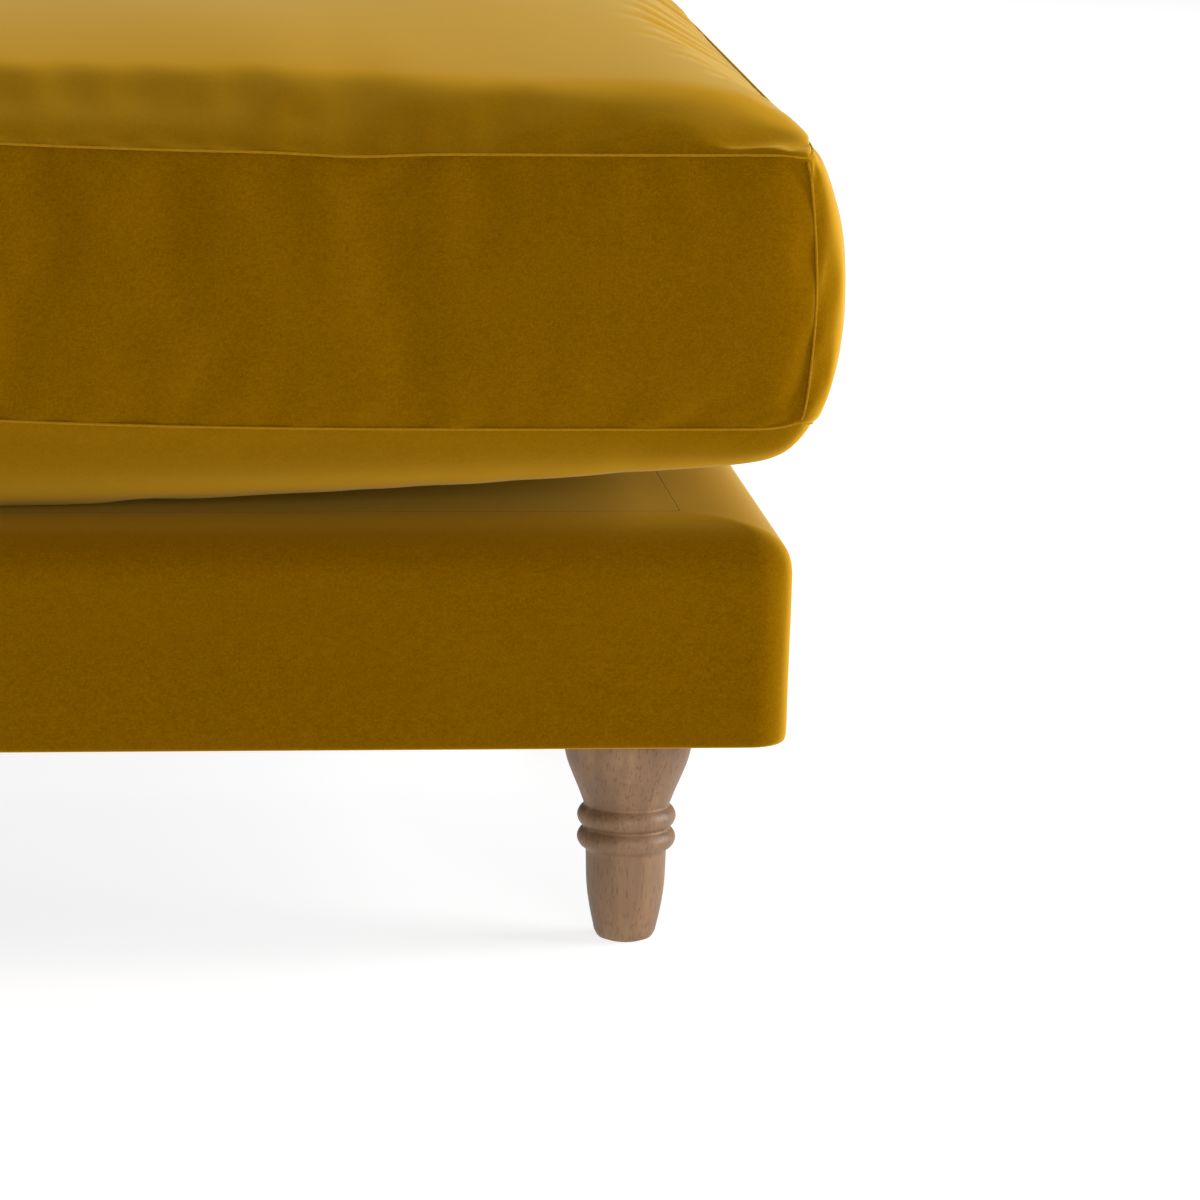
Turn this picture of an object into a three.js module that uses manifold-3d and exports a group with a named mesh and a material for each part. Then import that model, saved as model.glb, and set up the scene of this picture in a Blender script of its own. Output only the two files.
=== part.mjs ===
// Storage ottoman: a box cushion on a hinged lid, over an upholstered plinth on four turned legs.
// Millimetres, +Z up. The origin is on the floor under the middle; the front faces -Y.
import * as THREE from 'three';
import Module from 'manifold-3d';
import { mergeVertices } from 'three/addons/utils/BufferGeometryUtils.js';

const wasm = await Module();
wasm.setup();

// ---- driving dimensions ----
const GAP = 0.3; // clearance between neighbouring pieces
const BASE = { width: 890, depth: 600, bottom: 115, top: 226, cornerRadius: 22, edgeRadius: 20 };
const COVER = 9.7; // padding and velvet over the rails
const RAIL = { thickness: 20, bottom: 117, top: 216 };
const LEDGE = { width: 29.7, height: 26 };
const BOARD = { thickness: 15, bottom: 118.2 }; // floor of the storage well
const LID = { thickness: 12, bearing: 8.5, rimGap: 1.5 };
const LINING = 1.5;
const LEG = { height: BASE.bottom, inset: 72, plate: 70, plateThickness: 2.6 };
const BOLT = { radius: 4, holeRadius: 4.3, bottom: 80, top: 131 };
const GLIDE = { radius: 10, thickness: 2.7, proud: 1 };
const CORNER_BLOCK = 60;
const HINGE = { offset: 250, width: 56, leaf: 2, barrel: 4.2, bore: 2.1, pin: 2, y: 284, z: 230.7 };
const STRIP = { width: 40, length: 600, thickness: 1.8, offset: 120 };
const CUSHION = {
  halfWidth: 453, halfDepth: 320, seamLow: 282, seamHigh: 420, // the border between its two seams
  crown: 42, sag: 49, sideBulge: 24, frontBulge: 4.4, skin: 2.5,
};
const ZIP = { width: 24, length: 600, thickness: 1, slider: [12, 2.6, 20] };

const railX = BASE.width / 2 - COVER - GAP; // outer faces of the rails
const railY = BASE.depth / 2 - COVER - GAP;
const innerX = railX - RAIL.thickness; // inner faces of the rails
const innerY = railY - RAIL.thickness;
const openX = innerX - GAP - LEDGE.width; // clear opening between the ledges
const openY = innerY - GAP - LEDGE.width;
const lidX = openX + LID.bearing;
const lidY = openY + LID.bearing;
const lidBottom = RAIL.top + GAP;
const lidTop = lidBottom + LID.thickness;
const wellFloor = BOARD.bottom + BOARD.thickness + GAP;
const ledgeBottom = RAIL.top - LEDGE.height;

// ---- materials ----
const LOOKS = {
  velvet: [0x8a6210, 0.9, 0], timber: [0xc9a878, 0.75, 0], plywood: [0xd0b084, 0.7, 0],
  oak: [0x96765a, 0.6, 0], lining: [0x3a352f, 0.95, 0], steel: [0x9a9da0, 0.35, 1],
  zinc: [0xb8bcc0, 0.3, 1], nylon: [0x26231f, 0.6, 0], foam: [0xe8dfb8, 0.95, 0],
  hookLoop: [0x1f1d1b, 0.95, 0], bronze: [0x6e5a34, 0.4, 1],
};
const ottoman = new THREE.Group();

function addPart(name, look, geometry, parent = ottoman) {
  const [color, roughness, metalness] = LOOKS[look];
  const mesh = new THREE.Mesh(geometry, new THREE.MeshStandardMaterial({ color, roughness, metalness }));
  mesh.name = name;
  parent.add(mesh);
  return mesh;
}

// ---- solids: geometries to manifold and back, for cuts and joins ----
function toSolid(geometry) {
  const bare = geometry.clone();
  bare.deleteAttribute('normal');
  bare.deleteAttribute('uv');
  const merged = mergeVertices(bare, 1e-4);
  return new wasm.Manifold(new wasm.Mesh({
    numProp: 3,
    vertProperties: new Float32Array(merged.attributes.position.array),
    triVerts: new Uint32Array(merged.index.array),
  }));
}

function toGeometry(solid) {
  const mesh = solid.getMesh();
  const geometry = new THREE.BufferGeometry();
  geometry.setAttribute('position', new THREE.BufferAttribute(mesh.vertProperties.slice(), 3));
  geometry.setIndex(new THREE.BufferAttribute(mesh.triVerts.slice(), 1));
  geometry.computeVertexNormals();
  return geometry;
}

// ---- shape helpers ----
const box = (x0, x1, y0, y1, z0, z1) =>
  new THREE.BoxGeometry(x1 - x0, y1 - y0, z1 - z0)
    .translate((x0 + x1) / 2, (y0 + y1) / 2, (z0 + z1) / 2);

const slab = (halfX, halfY, z0, z1) => box(-halfX, halfX, -halfY, halfY, z0, z1);

function rod(radius, z0, z1, segments = 16) {
  const geometry = new THREE.CylinderGeometry(radius, radius, z1 - z0, segments);
  return geometry.rotateX(Math.PI / 2).translate(0, 0, (z0 + z1) / 2);
}

function prism(points, z0, z1) {
  const shape = new THREE.Shape(points.map(([x, y]) => new THREE.Vector2(x, y)));
  const geometry = new THREE.ExtrudeGeometry(shape, { depth: z1 - z0, bevelEnabled: false });
  return geometry.translate(0, 0, z0);
}

// An outline in the Y-Z plane, extruded along X from x0 to x1.
function alongX(points, x0, x1) {
  return prism(points, x0, x1).applyMatrix4(new THREE.Matrix4().set(
    0, 0, 1, 0,
    1, 0, 0, 0,
    0, 1, 0, 0,
    0, 0, 0, 1,
  ));
}

function roundedRectangle(halfX, halfY, radius) {
  const shape = new THREE.Shape();
  shape.absarc(halfX - radius, halfY - radius, radius, 0, Math.PI / 2);
  shape.absarc(-halfX + radius, halfY - radius, radius, Math.PI / 2, Math.PI);
  shape.absarc(-halfX + radius, -halfY + radius, radius, Math.PI, 1.5 * Math.PI);
  shape.absarc(halfX - radius, -halfY + radius, radius, 1.5 * Math.PI, 2 * Math.PI);
  return shape;
}

const corners = [['front', -1], ['back', 1]].flatMap(([end, sy]) =>
  [['left', -1], ['right', 1]].map(([side, sx]) => ({ label: `${end}_${side}`, sx, sy })));
const legX = BASE.width / 2 - LEG.inset;
const legY = BASE.depth / 2 - LEG.inset;

// ---- plinth frame ----
function addFrame() {
  const { bottom, top } = RAIL;
  const sideY = innerY - GAP;
  addPart('front_rail', 'timber', box(-railX, railX, -railY, -innerY, bottom, top));
  addPart('back_rail', 'timber', box(-railX, railX, innerY, railY, bottom, top));
  addPart('left_rail', 'timber', box(-railX, -innerX, -sideY, sideY, bottom, top));
  addPart('right_rail', 'timber', box(innerX, railX, -sideY, sideY, bottom, top));

  const outX = innerX - GAP;
  const outY = innerY - GAP;
  const shortY = openY - GAP;
  addPart('front_ledge', 'timber', box(-outX, outX, -outY, -openY, ledgeBottom, top));
  addPart('back_ledge', 'timber', box(-outX, outX, openY, outY, ledgeBottom, top));
  addPart('left_ledge', 'timber', box(-outX, -openX, -shortY, shortY, ledgeBottom, top));
  addPart('right_ledge', 'timber', box(openX, outX, -shortY, shortY, ledgeBottom, top));
}

function addBaseBoard() {
  const boardTop = BOARD.bottom + BOARD.thickness;
  let board = toSolid(slab(innerX - GAP, innerY - GAP, BOARD.bottom, boardTop));
  for (const { sx, sy } of corners) {
    const hole = rod(BOLT.holeRadius, BOARD.bottom - 1, boardTop + 1).translate(sx * legX, sy * legY, 0);
    board = board.subtract(toSolid(hole));
  }
  addPart('base_board', 'plywood', toGeometry(board));
}

function addCornerBlocks() {
  const x = innerX - GAP;
  const y = innerY - GAP;
  for (const { label, sx, sy } of corners) {
    const triangle = [[sx * x, sy * y], [sx * (x - CORNER_BLOCK), sy * y], [sx * x, sy * (y - CORNER_BLOCK)]];
    if (sx * sy < 0) triangle.reverse();
    addPart(`corner_block_${label}`, 'timber', prism(triangle, wellFloor, ledgeBottom - GAP));
  }
}

// The fabric tray in the well: an octagon that passes inside the four corner blocks.
function addWellLining() {
  const octagon = (inset) => {
    const x = innerX - GAP - inset;
    const y = innerY - GAP - inset;
    const cut = CORNER_BLOCK - inset * (2 - Math.SQRT2);
    return [[x, -y + cut], [x, y - cut], [x - cut, y], [-x + cut, y], [-x, y - cut], [-x, -y + cut],
      [-x + cut, -y], [x - cut, -y]];
  };
  const top = ledgeBottom - GAP;
  const outer = toSolid(prism(octagon(GAP), wellFloor, top));
  const inner = toSolid(prism(octagon(GAP + LINING), wellFloor + LINING, top + 1));
  addPart('well_lining', 'lining', toGeometry(outer.subtract(inner)));
}

function addDustCover() {
  const half = LEG.plate / 2 + 2;
  let sheet = toSolid(slab(railX - 1, railY - 1, BASE.bottom + 0.6, BASE.bottom + 1.6));
  for (const { sx, sy } of corners) {
    const window = slab(half, half, BASE.bottom, BASE.bottom + 3).translate(sx * legX, sy * legY, 0);
    sheet = sheet.subtract(toSolid(window));
  }
  addPart('dust_cover', 'lining', toGeometry(sheet));
}

// Padding and velvet: a rounded box over the rails, open below and at the lid, mitred into four walls.
function addBaseCovers() {
  const { width, depth, bottom, top, cornerRadius, edgeRadius } = BASE;
  const skirt = 2 * edgeRadius; // extra depth below, so only the top edge keeps its rounding
  const outline = roundedRectangle(width / 2, depth / 2, cornerRadius);
  const block = new THREE.ExtrudeGeometry(outline, {
    depth: top - bottom + skirt - 2 * edgeRadius, curveSegments: 5, bevelSegments: 5,
    bevelThickness: edgeRadius, bevelSize: edgeRadius, bevelOffset: -edgeRadius,
  }).translate(0, 0, bottom - skirt + edgeRadius);
  const above = slab(width, depth, bottom, top + 1);
  const overRails = slab(railX + GAP, railY + GAP, bottom - 1, RAIL.top + GAP);
  const lidOpening = slab(lidX + LID.rimGap, lidY + LID.rimGap, bottom - 1, top + 1);
  const shell = toSolid(block).intersect(toSolid(above))
    .subtract(toSolid(overRails)).subtract(toSolid(lidOpening));

  // One mitred wall: a trapezium from the outer edge inwards, at 45 degrees at both ends.
  const reach = 120;
  const mitre = (halfLength, halfSpan) => {
    const edge = halfLength - GAP / 2;
    return [[-edge, -halfSpan], [edge, -halfSpan], [edge - reach, reach - halfSpan],
      [reach - edge, reach - halfSpan]];
  };
  const long = prism(mitre(width / 2, depth / 2), bottom - 1, top + 1);
  const short = prism(mitre(depth / 2, width / 2), bottom - 1, top + 1);
  const walls = [
    ['front_cover', long.clone()],
    ['back_cover', long.clone().rotateZ(Math.PI)],
    ['right_cover', short.clone().rotateZ(Math.PI / 2)],
    ['left_cover', short.clone().rotateZ(-Math.PI / 2)],
  ];
  for (const [name, wall] of walls) {
    addPart(name, 'velvet', toGeometry(shell.intersect(toSolid(wall))));
  }
}

// ---- legs ----
// One turned leg: a glide recess, a flared foot, two beads, a neck and a bell top with a bolt hole.
function legProfile() {
  const pocket = GLIDE.radius + GAP;
  const points = [[0, GLIDE.thickness + GAP], [pocket, GLIDE.thickness + GAP], [pocket, GLIDE.proud],
    [13.2, GLIDE.proud], [14.6, 2.4]];
  const addCurve = (anchors, steps) => {
    const curve = new THREE.SplineCurve(anchors.map(([r, z]) => new THREE.Vector2(r, z)));
    curve.getPoints(steps).forEach((p) => points.push([p.x, p.y]));
  };
  const addBead = (radius, bulge, z0, z1, steps = 5) => {
    for (let i = 0; i <= steps; i++) {
      const t = i / steps;
      points.push([radius + bulge * Math.sin(Math.PI * t) ** 0.75, z0 + (z1 - z0) * t]);
    }
  };
  addCurve([[15.8, 4.8], [18.4, 17.2], [20.1, 29.8], [20.7, 46.6]], 6);
  addBead(21.6, 3.8, 48.2, 59.8);
  addBead(22.6, 2.8, 60.2, 70.6);
  addCurve([[21.9, 71.4], [25.2, 80], [28.8, 88.6], [31.8, 97.3], [35.4, LEG.height]], 6);
  points.push([BOLT.holeRadius, LEG.height], [BOLT.holeRadius, BOLT.bottom - GAP], [0, BOLT.bottom - GAP]);
  return points.map(([r, z]) => new THREE.Vector2(r, z));
}

function addLegs() {
  const turned = new THREE.LatheGeometry(legProfile(), 20).rotateX(Math.PI / 2);
  const half = LEG.plate / 2;
  const plateBottom = LEG.height + GAP;
  const plate = toGeometry(toSolid(slab(half, half, plateBottom, plateBottom + LEG.plateThickness))
    .subtract(toSolid(rod(BOLT.holeRadius, LEG.height, BOARD.bottom + 1))));
  for (const { label, sx, sy } of corners) {
    const place = new THREE.Group();
    place.position.set(sx * legX, sy * legY, 0);
    addPart(`leg_${label}`, 'oak', turned.clone(), place);
    addPart(`leg_plate_${label}`, 'zinc', plate.clone(), place);
    addPart(`hanger_bolt_${label}`, 'zinc', rod(BOLT.radius, BOLT.bottom, BOLT.top), place);
    addPart(`glide_${label}`, 'nylon', rod(GLIDE.radius, 0, GLIDE.thickness, 24), place);
    ottoman.add(place);
  }
}

// ---- lid and hinges ----
function addLid() {
  addPart('lid_board', 'plywood', slab(lidX, lidY, lidBottom, lidTop));
  const liningTop = lidBottom - GAP;
  addPart('lid_lining', 'lining', slab(openX - 2, openY - 2, liningTop - LINING, liningTop));
  const hookBottom = lidTop + GAP;
  const loopBottom = hookBottom + STRIP.thickness + GAP;
  for (const [end, sy] of [['front', -1], ['back', 1]]) {
    const strip = (z) => box(-STRIP.length / 2, STRIP.length / 2, sy * STRIP.offset - STRIP.width / 2,
      sy * STRIP.offset + STRIP.width / 2, z, z + STRIP.thickness);
    addPart(`hook_strip_${end}`, 'hookLoop', strip(hookBottom));
    addPart(`loop_strip_${end}`, 'hookLoop', strip(loopBottom));
  }
}

// A barrel ring centred on the hinge axis, over x0 to x1.
function knuckle(x0, x1) {
  const ring = new THREE.Shape().absarc(0, 0, HINGE.barrel, 0, 2 * Math.PI);
  ring.holes.push(new THREE.Path().absarc(0, 0, HINGE.bore, 0, 2 * Math.PI, true));
  return new THREE.ExtrudeGeometry(ring, { depth: x1 - x0, bevelEnabled: false, curveSegments: 12 })
    .rotateY(Math.PI / 2).translate(x0, HINGE.y, HINGE.z);
}

// The base leaf has the two outer knuckles and the lid leaf the middle one; the leaves fold together.
function addHinge(side, centre) {
  const { width, leaf, barrel, y, z, pin } = HINGE;
  const half = width / 2;
  const third = width / 6;
  const relief = barrel + 2 * GAP; // from the axis to a leaf cut back for the other leaf's knuckle
  const baseLow = BASE.top + GAP;
  const lidLow = lidTop + GAP + 0.2;
  const bore = alongX(Array.from({ length: 24 }, (_, i) => {
    const angle = (i / 24) * 2 * Math.PI;
    return [y + HINGE.bore * Math.cos(angle), z + HINGE.bore * Math.sin(angle)];
  }), -half - 1, half + 1);

  const plate = (y0, y1, z0) => toSolid(box(-half, half, y0, y1, z0, z0 + leaf));
  const clearing = (x0, x1) => toSolid(box(x0, x1, y - relief, y + relief, z - relief, z + relief));
  const baseLeaf = plate(lidY + 8, y, baseLow).subtract(clearing(-third - GAP, third + GAP))
    .add(toSolid(knuckle(-half, -third - GAP))).add(toSolid(knuckle(third + GAP, half)))
    .subtract(toSolid(bore));
  const lidLeaf = plate(lidY - 60, y - pin, lidLow)
    .subtract(clearing(-half - 1, -third)).subtract(clearing(third, half + 1))
    .add(toSolid(knuckle(-third, third))).subtract(toSolid(bore));

  const head = 3.2;
  const end = half + GAP;
  const pinProfile = [[0, -end - 1.5], [head, -end - 1.5], [head, -end], [pin, -end], [pin, end],
    [head, end], [head, end + 1.5], [0, end + 1.5]].map(([r, x]) => new THREE.Vector2(r, x));
  const pinGeometry = new THREE.LatheGeometry(pinProfile, 24).rotateZ(-Math.PI / 2).translate(0, y, z);

  const place = new THREE.Group();
  place.position.x = centre;
  addPart(`${side}_hinge_base_leaf`, 'steel', toGeometry(baseLeaf), place);
  addPart(`${side}_hinge_lid_leaf`, 'steel', toGeometry(lidLeaf), place);
  addPart(`${side}_hinge_pin`, 'steel', pinGeometry, place);
  ottoman.add(place);
}

// ---- cushion ----
// A closed pillow box, shrunk by `inset`: crowned on top, sagging below, bulged at the sides and front.
function pillow(inset) {
  const { halfWidth, halfDepth, seamLow, seamHigh, crown, sag, sideBulge, frontBulge } = CUSHION;
  const middle = (seamLow + seamHigh) / 2;
  const halfHeight = (seamHigh - seamLow) / 2;
  const geometry = new THREE.BoxGeometry(2, 2, 2, 14, 12, 4);
  const position = geometry.attributes.position;
  const rounded = (s, power) => 1 - Math.abs(s) ** power;
  for (let i = 0; i < position.count; i++) {
    // Rows are packed towards the edges, where the surface turns fastest.
    const sx = Math.sin(position.getX(i) * Math.PI / 2);
    const sy = Math.sin(position.getY(i) * Math.PI / 2);
    const sz = position.getZ(i);
    let x = sx * (halfWidth - inset);
    let y = sy * (halfDepth - inset);
    let z = middle + sz * (halfHeight - inset);
    if (sz === 1) z += crown * rounded(sx, 3) * rounded(sy, 3);
    else if (sz === -1) z -= sag * rounded(sx, 16) * rounded(sy, 16);
    else {
      if (Math.abs(sx) > 0.999) x += Math.sign(sx) * sideBulge * rounded(sz, 2) * rounded(sy, 6);
      if (sy < -0.999) y -= frontBulge * rounded(sz, 2) * rounded(sx, 6);
    }
    position.setXYZ(i, x, y, z);
  }
  return toSolid(geometry);
}

function addCushion() {
  const { seamLow, seamHigh, skin, halfWidth, halfDepth } = CUSHION;
  const cover = pillow(0).subtract(pillow(skin));
  const panel = (z0, z1) => toGeometry(cover.intersect(toSolid(slab(2 * halfWidth, 2 * halfDepth, z0, z1))));
  addPart('cushion_foam', 'foam', toGeometry(pillow(skin + GAP)));
  addPart('cushion_top_panel', 'velvet', panel(seamHigh + GAP / 2, seamHigh + 100));
  addPart('cushion_border', 'velvet', panel(seamLow + GAP / 2, seamHigh - GAP / 2));
  addPart('cushion_bottom_panel', 'velvet', panel(seamLow - 100, seamLow - GAP / 2));
}

// The zip runs along the flat back of the border; its slider rests at the left end.
function addZip() {
  const z = (CUSHION.seamLow + CUSHION.seamHigh) / 2;
  const tapeFace = CUSHION.halfDepth + GAP + ZIP.thickness;
  const [wide, deep, high] = ZIP.slider;
  const start = -ZIP.length / 2 + wide;
  addPart('zip_tape', 'velvet', box(-ZIP.length / 2, ZIP.length / 2, CUSHION.halfDepth + GAP, tapeFace,
    z - ZIP.width / 2, z + ZIP.width / 2));
  addPart('zip_slider', 'bronze', box(start, start + wide, tapeFace + GAP, tapeFace + GAP + deep,
    z - high / 2, z + high / 2));
}

addFrame();
addBaseBoard();
addCornerBlocks();
addWellLining();
addDustCover();
addBaseCovers();
addLegs();
addLid();
addHinge('left', -HINGE.offset);
addHinge('right', HINGE.offset);
addCushion();
addZip();

export default ottoman;
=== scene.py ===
"""Storage ottoman: velvet box cushion on a hinged lid, covered plinth, turned oak legs. Metres, +Z up."""
import math

import bmesh
import bpy
import numpy as np
from mathutils import Matrix, Vector


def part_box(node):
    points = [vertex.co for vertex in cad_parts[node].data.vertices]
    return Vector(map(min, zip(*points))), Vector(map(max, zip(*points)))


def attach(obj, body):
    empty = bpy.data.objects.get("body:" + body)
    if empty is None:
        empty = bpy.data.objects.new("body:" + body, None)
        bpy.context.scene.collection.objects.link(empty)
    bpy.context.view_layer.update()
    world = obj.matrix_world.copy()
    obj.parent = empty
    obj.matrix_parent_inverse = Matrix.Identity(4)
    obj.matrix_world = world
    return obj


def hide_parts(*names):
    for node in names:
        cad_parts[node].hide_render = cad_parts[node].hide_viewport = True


MM = 0.001
CORNERS = ("front_left", "front_right", "back_left", "back_right")
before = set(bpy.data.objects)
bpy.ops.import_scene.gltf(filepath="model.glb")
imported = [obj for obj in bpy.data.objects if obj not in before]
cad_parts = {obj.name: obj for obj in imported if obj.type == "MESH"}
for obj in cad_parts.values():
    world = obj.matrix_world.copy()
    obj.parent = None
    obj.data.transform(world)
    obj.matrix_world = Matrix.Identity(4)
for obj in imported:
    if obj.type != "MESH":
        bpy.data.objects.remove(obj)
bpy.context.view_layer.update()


# ---- sizes from the frame
def span(node, axis):
    low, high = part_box(node)
    return low[axis], high[axis]


def middle_of(node):
    low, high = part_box(node)
    return [(a + b) / 2 for a, b in zip(low, high)]


BORDER_LOW, BORDER_HIGH = span("cushion_border", 2)  # the two long seams of the cushion
SEAM_X, SEAM_Y, CUSHION_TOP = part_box("cushion_top_panel")[1]
BASE_LOW, BASE_TOP = span("front_cover", 2)
BASE_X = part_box("right_cover")[1].x + 4.3 * MM  # wadding and velvet stand proud of the ends
RIM_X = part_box("right_cover")[0].x  # edge of the opening in the deck
RIM_Y, BASE_Y = span("back_cover", 1)
LEG_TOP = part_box("leg_front_right")[1].z
LID_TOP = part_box("lid_board")[1].z
DECK_CROWN = LID_TOP - BASE_TOP  # the padded deck rises to the lid's level, except behind, under the hinges
HINGES_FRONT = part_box("left_hinge_base_leaf")[0].y
REST_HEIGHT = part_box("loop_strip_front")[1].z - 0.4 * MM  # where the underside lies on strips and hinges
STRIPS_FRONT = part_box("loop_strip_front")[0].y
LIP = 0.12 * MM  # the turned edge where the deck and the lid meet


# ---- node helpers
class Nodes:
    """Short calls for building one material's node tree."""

    def __init__(self, name):
        self.material = bpy.data.materials.new(name)
        self.material.use_nodes = True
        self.tree = self.material.node_tree
        self.shader = self.tree.nodes["Principled BSDF"]
        self.coords = self.tree.nodes.new("ShaderNodeTexCoord").outputs["Object"]

    def add(self, kind, inputs=None, **settings):
        node = self.tree.nodes.new("ShaderNode" + kind)
        for key, value in settings.items():
            setattr(node, key, value)
        for key, value in (inputs or {}).items():
            self.put(node.inputs[key], value)
        return node

    def put(self, socket, value):
        if isinstance(value, bpy.types.NodeSocket):
            self.tree.links.new(value, socket)
        else:
            socket.default_value = value

    def shade(self, **values):
        """Sets Principled sockets by name, with underscores for spaces."""
        for key, value in values.items():
            self.put(self.shader.inputs[key.replace("_", " ")], value)

    def stretched(self, scale):
        return self.add("Mapping", {"Vector": self.coords, "Scale": scale}).outputs[0]

    def noise(self, scale, detail=3.0, roughness=0.55, vector=None, distortion=0.0):
        return self.add("TexNoise", {
            "Vector": vector or self.coords, "Scale": scale, "Detail": detail,
            "Roughness": roughness, "Distortion": distortion}).outputs["Fac"]

    def ramp(self, factor, stops):
        node = self.add("ValToRGB", {"Fac": factor})
        elements = node.color_ramp.elements
        while len(elements) < len(stops):
            elements.new(0.5)
        for element, (position, colour) in zip(elements, stops):
            element.position = position
            element.color = colour
        return node.outputs["Color"]

    def math(self, operation, a, b=0.0, c=0.0):
        node = self.add("Math", operation=operation)
        for socket, value in zip(node.inputs, (a, b, c)):
            self.put(socket, value)
        return node.outputs[0]

    def mix(self, factor, a, b):
        node = self.add("Mix", data_type="RGBA")
        self.put(node.inputs[0], factor)
        self.put(node.inputs[6], a)
        self.put(node.inputs[7], b)
        return node.outputs[2]

    def bump(self, height, strength, distance, normal=None):
        inputs = {"Height": height, "Strength": strength, "Distance": distance}
        if normal:
            inputs["Normal"] = normal
        return self.add("Bump", inputs).outputs[0]


def linear(r, g, b):
    """An sRGB colour, 0 to 255, as the linear values that Blender's sockets take."""
    def channel(v):
        v /= 255
        return v / 12.92 if v <= 0.04045 else ((v + 0.055) / 1.055) ** 2.4
    return (channel(r), channel(g), channel(b), 1.0)


def grey(value):
    return (value, value, value, 1.0)


# ---- materials
def velvet():
    """Mustard pile with a fine brushed mottle: a deep brown gold, with a painted sheen that makes the base
    colour paler where the surface is seen at a grazing angle, and a light real shader sheen.
    """
    n = Nodes("mustard_velvet")
    brushed = n.noise(16.0, 2.0, vector=n.stretched((1.0, 1.0, 1.8)))
    mottle = n.noise(420.0, 3.0, 0.65, vector=n.stretched((0.6, 0.6, 1.0)))
    fibre = n.noise(1050.0, 2.0, 0.7, vector=n.stretched((0.8, 0.8, 1.0)))
    tone = n.math("MULTIPLY_ADD", brushed, 0.22, n.math("MULTIPLY", mottle, 0.78))
    pile = n.ramp(tone, [(0.30, linear(97, 63, 0)), (0.50, linear(103, 68, 0)),
                         (0.70, linear(109, 73, 1))])
    tips = n.math("MULTIPLY", n.math("SUBTRACT", fibre, 0.40), 1.8)
    shaded = n.mix(tips, pile, linear(126, 87, 3))
    # Painted sheen: the view's grazing angle mixes the base colour towards pale golds, standing in for the
    # light the pile catches.
    facing = n.add("LayerWeight", {"Blend": 0.5}).outputs["Facing"]
    painted_sheen_amount = n.ramp(facing, [(0.16, grey(0)), (0.48, grey(0.30)), (0.76, grey(0.84)), (1.0, grey(1))])
    painted_sheen_colour = n.ramp(facing, [(0.40, linear(166, 122, 16)), (0.60, linear(188, 144, 42)),
                           (0.80, linear(192, 140, 12)), (0.97, linear(190, 164, 104))])
    for socket in (painted_sheen_amount, painted_sheen_colour):
        socket.node.color_ramp.interpolation = "B_SPLINE"
    n.shade(Base_Color=n.mix(painted_sheen_amount, shaded, painted_sheen_colour))
    n.shade(Roughness=1.0, Specular_IOR_Level=0.0)
    n.shade(Sheen_Weight=0.10, Sheen_Roughness=0.35, Sheen_Tint=linear(255, 200, 70))
    soft = n.bump(mottle, 0.18, 0.0005)
    n.shade(Normal=n.bump(fibre, 0.30, 0.0002, soft))
    return n.material


def seam_painted_highlight():
    """The turned edge of velvet along a seam: the same cloth, with its base colour painted paler as the
    highlight that the raised edge catches.
    """
    n = Nodes("velvet_seam_painted_highlight")
    twist = n.noise(700.0, 2.0)
    # Painted highlight: these golds are paler than the velvet's own, standing in for light on the seam
    # ridge.
    n.shade(Base_Color=n.mix(twist, linear(126, 87, 5), linear(154, 112, 20)))
    n.shade(Roughness=0.9, Specular_IOR_Level=0.0)
    n.shade(Sheen_Weight=0.6, Sheen_Roughness=0.3, Sheen_Tint=linear(255, 205, 80))
    n.shade(Normal=n.bump(twist, 0.3, 0.0003))
    return n.material


def oak():
    """Weathered oak: grey-brown, straight grain up the leg, dark pores and a dull wax."""
    n = Nodes("weathered_oak")
    grain = n.noise(60.0, 5.0, 0.6, vector=n.stretched((1.0, 1.0, 0.07)), distortion=0.4)
    fine = n.noise(420.0, 3.0, 0.65, vector=n.stretched((1.0, 1.0, 0.05)))
    pores = n.noise(900.0, 2.0, 0.6, vector=n.stretched((1.0, 1.0, 0.09)))
    patch = n.noise(16.0, 2.0, vector=n.stretched((1.0, 1.0, 0.5)))
    body = n.ramp(grain, [(0.30, linear(98, 70, 45)), (0.50, linear(128, 95, 64)),
                          (0.72, linear(160, 126, 90))])
    washed = n.mix(n.math("MULTIPLY", patch, 0.5), body, linear(142, 112, 82))
    lined = n.mix(n.math("MULTIPLY", fine, 0.45), washed, linear(108, 78, 52))
    dark = n.math("LESS_THAN", pores, 0.40)
    n.shade(Base_Color=n.mix(n.math("MULTIPLY", dark, 0.4), lined, linear(64, 42, 26)))
    n.shade(Roughness=n.math("MULTIPLY_ADD", grain, 0.25, 0.38), Specular_IOR_Level=0.4)
    n.shade(Normal=n.bump(pores, 0.25, 0.0004, n.bump(fine, 0.25, 0.0006)))
    return n.material


def timber(name, light, dark, direction):
    """Plain sawn wood with its grain along one axis."""
    n = Nodes(name)
    scale = tuple(0.06 if axis == direction else 1.0 for axis in range(3))
    rings = n.noise(38.0, 5.0, 0.6, vector=n.stretched(scale), distortion=0.8)
    saw = n.noise(500.0, 2.0, 0.6, vector=n.stretched(scale))
    n.shade(Base_Color=n.ramp(rings, [(0.32, linear(*dark)), (0.68, linear(*light))]))
    n.shade(Roughness=n.math("MULTIPLY_ADD", saw, 0.2, 0.6), Normal=n.bump(saw, 0.25, 0.0004))
    return n.material


PITCHES = 6.28  # at a scale of 1 over this many pitches, one wave of the texture spans two threads


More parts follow.
